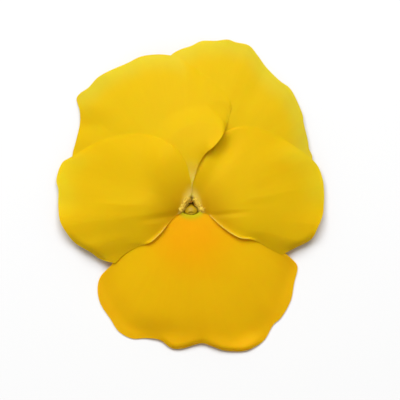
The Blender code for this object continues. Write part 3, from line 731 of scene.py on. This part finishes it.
pistil = {
    "route": [(0.0, 0.0, 3.62), (0.0, 0.0, 4.2), (0.0, -0.04, 4.6), (-0.02, -0.25, 4.95),
              (-0.04, -0.5, 5.15)],
    # share of the route against radius: ovary, then the thin style
    "profile": [(0.0, 0.02), (0.04, 0.25), (0.14, 0.42), (0.28, 0.46), (0.46, 0.34), (0.62, 0.20),
                (0.80, 0.20), (0.97, 0.22), (1.0, 0.02)],
    "head": (-0.02, -0.62, 5.15),
    "headSize": (0.95, 0.72, 0.62),
    "headTaper": 0.2,                  # narrower at the top of the flower, wider at the lip
    "mouth": (0.05, -0.62, 0.78),      # direction of the stigma's opening
    "dimple": (0.30, 0.26),            # its depth as a share of the head, width in radians
    "lip": (0.07, 0.46, 0.16),         # height, angle from the middle of the opening, width
    "lobes": (0.02, 5.0, 1.0),         # height, how many, phase
    "mesh": (90, 120),
    "stalkMesh": (80, 40),
}


def buildPistil():
    # ovary and bent style turned on one line, and the globe of the stigma: a sphere squeezed to
    # headSize, less a dimple exp(-(angle / width)^2), plus a raised lip round it and low lobes
    rings, sides = pistil["stalkMesh"]
    share = np.linspace(0.0, 1.0, rings)
    radii = np.interp(share, *smoothLine(pistil["profile"], 300).T)
    points, faces = tube(smoothLine(pistil["route"], rings), radii, sides)
    rows, columns = pistil["mesh"]
    polar = np.linspace(0.0, np.pi, rows)[:, None]
    turn = np.linspace(0.0, 2.0 * np.pi, columns, endpoint=False)[None, :]
    ball = np.stack([np.sin(polar) * np.cos(turn), np.sin(polar) * np.sin(turn),
                     np.cos(polar) + 0.0 * turn], axis=-1)
    mouth = unit(np.array(pistil["mouth"]))
    angle = np.arccos(np.clip(ball @ mouth, -1.0, 1.0))
    deep, wide = pistil["dimple"]
    high, lipAt, lipWidth = pistil["lip"]
    lobe, lobes, phase = pistil["lobes"]
    size = (1.0 - deep * np.exp(-(angle / wide) ** 2)
            + high * np.exp(-((angle - lipAt) / lipWidth) ** 2)
            + lobe * np.sin(lobes * turn + phase) * np.sin(polar))
    head = ball * size[..., None] * np.array(pistil["headSize"])
    head[..., 0] *= 1.0 - pistil["headTaper"] * ball[..., 1]
    head = (head + pistil["head"]).reshape(-1, 3)[columns - 1:1 - columns]
    # one point is left of each pole; these rings run the other way round, so the faces turn over
    first = len(points)
    index = first + 1 + np.arange(len(head) - 2).reshape(-1, columns)
    faces = faces + [np.roll(group[:, ::-1], 1, axis=1)
                     for group in ringFaces(index, first, first + len(head) - 1)]
    points = np.concatenate([points, head])
    olive = tissueMaterial("moist stigma", "98780A", "BA980C", 0.35, 0.45)
    addPiece("pistilFine", points, faces, olive, ["pistil"])
    print("pistil built")


stamens = {
    "count": 5,
    "ring": 0.91,
    "foot": 3.62,
    "tips": (0.52, 4.95),            # distance out and height of the tips
    "shortTips": (0.70, 4.30),       # of the two under the head of the pistil
    "halfSize": (0.15, 0.40),        # half thickness and half width
    # share of the length against share of that size
    "swell": [(0.0, 0.12), (0.03, 0.35), (0.10, 0.6), (0.25, 0.95), (0.6, 1.0), (0.8, 0.8),
              (0.93, 0.42), (1.0, 0.08)],
    "bend": (0.97, 3.95),            # share of the ring and height where they start to lean in
    "shoulder": (0.4, 0.3),          # share of the lean left, and mm below the tip, higher up
    "grooves": (0.05, 6.0),          # depth, how many
    "mesh": (56, 32),
}


def buildStamens():
    # flat anthers close together round the ovary, each running up into a dry pointed scale; the
    # section is an ellipse r = 1 / sqrt((cos / thin)^2 + (sin / wide)^2), wide along the ring
    brown = tissueMaterial("dry anther scales", "C47A14", "F4B638", 0.2, 0.7)
    rings, sides = stamens["mesh"]
    thin, wide = stamens["halfSize"]
    groove, grooves = stamens["grooves"]
    bendShare, bendHeight = stamens["bend"]
    leftToLean, belowTip = stamens["shoulder"]
    swell = np.interp(np.linspace(0.0, 1.0, rings), *np.array(stamens["swell"]).T)
    for number in range(stamens["count"]):
        turn = np.radians(90.0 + 360.0 / stamens["count"] * number)
        out = np.array([np.cos(turn), np.sin(turn), 0.0])
        reach, top = stamens["shortTips" if number in (2, 3) else "tips"]
        shoulder = leftToLean * stamens["ring"] + (1.0 - leftToLean) * reach
        line = smoothLine([out * stamens["ring"] + (0.0, 0.0, stamens["foot"]),
                           out * stamens["ring"] * bendShare + (0.0, 0.0, bendHeight),
                           out * shoulder + (0.0, 0.0, top - belowTip),
                           out * reach + (0.0, 0.0, top)], rings)
        points, faces = tube(line, swell, sides, lambda a, k: (
            1.0 + groove * np.cos(grooves * (a - turn))) / np.hypot(np.sin(a - turn) / thin,
                                                                    np.cos(a - turn) / wide))
        addPiece(f"anther{number + 1}", points, faces, brown, [f"stamen_{number + 1}"])
    print("stamens built")


sepals = {
    # node: direction in degrees, reach of the tip in mm, width scale
    "all": {"sepal_top": (90.0, 9.2, 1.0), "sepal_upper_left": (162.0, 9.0, 1.0),
            "sepal_upper_right": (18.0, 9.0, 1.0), "sepal_lower_left": (228.0, 7.8, 0.85),
            "sepal_lower_right": (312.0, 7.8, 0.85)},
    "ear": [(2.15, 1.9), (2.38, 2.25), (2.45, 2.75)],    # backward ear: distance out, height
    "widths": [(0.0, 0.3), (0.04, 0.75), (0.08, 0.9), (0.125, 0.75), (0.3, 0.8), (0.5, 1.15),
               (0.7, 1.05), (0.85, 0.7), (0.95, 0.35), (1.0, 0.12)],
    "earShare": 0.125,               # share of the length that is the ear
    "thickness": 0.3,
    "thinEdge": (0.35, 0.5),         # share of it left at the edge, how far in it thins
    "ripple": (0.03, 40.0, 0.2),     # of the margins: height, how close, share where it starts
    "bend": 0.25,                    # sideways, at the tip
    "drop": 0.75,                    # depth below the lowest petal layer
    "rise": (0.9, 1.2),              # above the ear: at the receptacle, and more on the way out
    "risen": (4.0, 5.0),             # distances out at which each is reached
    "channel": (0.12, 0.1, 0.4),     # fold along the middle: depth, shares where it starts, is full
    "mesh": (90, 31),
    "veins": 15.7,                   # radians of their wave from the middle to the margin
}


def buildSepals():
    # a strip from the ear, past the receptacle, out under the petals to its point
    green = sepalMaterial()
    ear = np.array(sepals["ear"])
    earOut, earHeight = ear[-1]
    earShare = sepals["earShare"]
    rows, columns = sepals["mesh"]
    share = np.linspace(0.0, 1.0, rows)
    earLine = smoothLine(ear, 60)
    earStep = np.linspace(0, earShare, len(earLine))
    onEar = share < earShare
    low = np.interp(share, earStep, earLine[:, 1])
    widths = np.interp(share, *smoothLine(sepals["widths"], 400).T)
    ripple, close, start = sepals["ripple"]
    riseNear, riseFar = sepals["rise"]
    nearDone, farDone = sepals["risen"]
    thin, thinning = sepals["thinEdge"]
    channel, channelFrom, channelFull = sepals["channel"]
    for node, (degrees, reach, scale) in sepals["all"].items():
        beyond = earOut + (reach - earOut) * (share - earShare) / (1.0 - earShare)
        radius = np.where(onEar, np.interp(share, earStep, earLine[:, 0]), beyond)
        width = scale * widths * (1.0 + ripple * np.sin(close * share + degrees) * (share > start))
        angle = np.radians(degrees)
        along = np.array([np.cos(angle), np.sin(angle)])
        aside = np.array([-along[1], along[0]])
        spread = np.linspace(-1.0, 1.0, columns)[None, :]
        bend = sepals["bend"] * np.sin(np.radians(degrees * 3.0)) * (share ** 2)[:, None]
        place = (radius[:, None, None] * along
                 + (spread * width[:, None] + bend)[..., None] * aside)
        under = faceHeight(place[..., 0], place[..., 1], "none") - sepals["drop"]
        lift = smoothStep(earOut, farDone, radius)[:, None]
        climb = earHeight + riseNear * smoothStep(earOut, nearDone, radius)[:, None]
        z = climb * (1.0 - lift) + np.minimum(under, climb + riseFar) * lift
        z = np.where(onEar[:, None], low[:, None], z)
        fold = (1.0 - np.abs(spread)) ** 2
        z = z - channel * fold * smoothStep(channelFrom, channelFull, share)[:, None]
        mid = np.concatenate([place, z[..., None]], axis=-1)
        edge = np.minimum(1.0 - np.abs(spread) + 0.0 * share[:, None], 1.0)
        thickness = sepals["thickness"] * (thin + (1.0 - thin) * smoothStep(0.0, thinning, edge))
        points, faces = shell(mid, thickness)
        surface = np.stack([spread + 0.0 * z, share[:, None] + 0.0 * z], -1)
        uv = np.tile(surface.reshape(-1, 2), (2, 1))
        name = "".join(part.capitalize() for part in node.split("_"))
        addPiece(name[0].lower() + name[1:], points, faces, green, [node], uv)
    print("sepals built")


def sepalMaterial():
    # waxy green leaf: two greens in patches, a few pale lengthwise veins, thin pale margins
    material, tree, _ = newMaterial("waxy green sepal")
    place = addNode(tree, "TexCoord").outputs["Object"]
    surface = addNode(tree, "UVMap", {"uv_map": "surface"}).outputs["UV"]
    across = addNode(tree, "SeparateXYZ", None, {"Vector": surface}).outputs["X"]
    wave = reckoned(tree, "SINE", reckoned(tree, "MULTIPLY", across, sepals["veins"]))
    vein = rising(tree, wave, 0.8, 1.0, 0.5)
    margin = rising(tree, reckoned(tree, "ABSOLUTE", across), 0.75, 1.0)
    colour = mixed(tree, "3E6B22", "5E8A34", noise(tree, place, 1.0 / (0.5 * mm), 4.0))
    colour = mixed(tree, colour, "8DAE5A", vein)
    colour = mixed(tree, colour, "B9C98C", margin)
    setShader(tree, colour, bumped(tree, vein, 0.4, 0.04), 0.5, 0.35,
              (0.1, (0.4, 1.0, 0.2), 0.4))
    return material


stalk = {
    "route": [(0.0, 0.0, 3.3), (0.0, 0.0, 3.0), (0.0, 0.0, 2.6), (0.0, 0.1, 2.1),
              (0.0, 0.45, 1.4), (0.05, 1.2, 0.88), (0.2, 2.4, 0.68), (0.9, 5.0, 0.66),
              (2.0, 8.0, 0.66), (3.5, 11.0, 0.66)],
    # distance down the route against radius: receptacle, then stalk
    "radii": [(0.0, 1.6), (0.15, 2.0), (0.42, 2.3), (0.55, 2.3), (0.9, 1.2), (1.3, 0.75),
              (3.0, 0.65), (30.0, 0.65)],
    "ridges": (5, 0.07),             # how many, height as a share of the radius
    "ridgesFrom": (1.2, 3.0),        # distances over which they start
    "mesh": (260, 60),
}


def buildStalk():
    # receptacle and stalk as one tube along the route, with blunt lengthwise ridges
    # 1 - height (1 + cos(ridges * angle)) / 2; the far end is the flat picked cut
    rings, sides = stalk["mesh"]
    ridges, height = stalk["ridges"]
    line = smoothLine(stalk["route"], rings)
    run = distanceAlong(line)
    radii = np.interp(run, *np.array(stalk["radii"]).T)
    ridge = smoothStep(*stalk["ridgesFrom"], run)
    points, faces = tube(line, radii, sides,
                         lambda a, k: 1.0 - height * ridge[k] * (0.5 + 0.5 * np.cos(ridges * a)))
    green = tissueMaterial("smooth green stalk", "6C8A34", "93AC50", 0.4, 0.45)
    addPiece("pickedStalk", points, faces, green, ["stalk"])
    print("stalk built")


# metres and watts
stage = {
    "floorHalf": 1.2,
    "floorDrop": 0.00002,            # just below the flower
    "floorGrey": 0.70,
    "sky": (1.0, 0.92, 0.76),
    "skyStrength": 0.42,
    "window": (1.0, 0.6),            # width and depth of the lamp
    "windowPower": 17.0,
    "windowColour": (1.0, 1.035, 1.105),
    "windowPlace": (-0.10, 0.60, 0.92),
    "windowTilt": (-33.0, -5.0),     # degrees about X and Y
    "cameraPlace": (0.001493, -0.000974),
    "cameraBase": 0.004,             # height the camera's distance is measured from
    "cameraDistance": 0.6,
    "cameraView": 0.0597,            # width of the view at that distance
    "sensor": 36.0,
}


def buildStage():
    # white paper under a soft grey-yellow sky, a window behind the flower, a camera looking down
    scene = bpy.context.scene
    scene.view_settings.view_transform = "Standard"
    size = stage["floorHalf"]
    corners = np.array([(-size, -size, 0), (size, -size, 0), (size, size, 0), (-size, size, 0)])
    mesh = bpy.data.meshes.new("floor")
    mesh.from_pydata((corners - (0, 0, stage["floorDrop"])).tolist(), [], [(0, 1, 2, 3)])
    floor = bpy.data.objects.new("floor", mesh)
    scene.collection.objects.link(floor)
    material, tree, shader = newMaterial("matt white paper")
    shader.inputs["Base Color"].default_value = (*[stage["floorGrey"]] * 3, 1.0)
    shader.inputs["Roughness"].default_value = 0.9
    shader.inputs["Specular IOR Level"].default_value = 0.1
    mesh.materials.append(material)

    world = bpy.data.worlds.new("studio")
    world.use_nodes = True
    sky = world.node_tree.nodes["Background"]
    sky.inputs["Color"].default_value = (*stage["sky"], 1.0)
    sky.inputs["Strength"].default_value = stage["skyStrength"]
    scene.world = world

    light = bpy.data.lights.new("window", "AREA")
    light.shape = "RECTANGLE"
    light.size, light.size_y = stage["window"]
    light.energy = stage["windowPower"]
    light.color = stage["windowColour"]
    lamp = bpy.data.objects.new("window", light)
    lamp.location = stage["windowPlace"]
    lamp.rotation_euler = (*np.radians(stage["windowTilt"]), 0.0)
    scene.collection.objects.link(lamp)

    camera = bpy.data.cameras.new("camera")
    camera.sensor_width = stage["sensor"]
    camera.lens = camera.sensor_width * stage["cameraDistance"] / stage["cameraView"]
    holder = bpy.data.objects.new("camera", camera)
    holder.location = (*stage["cameraPlace"], stage["cameraDistance"] + stage["cameraBase"])
    scene.collection.objects.link(holder)
    scene.camera = holder
    print("stage built")


buildStage()
buildPetals()
buildBeards()
buildPistil()
buildStamens()
buildSepals()
buildStalk()
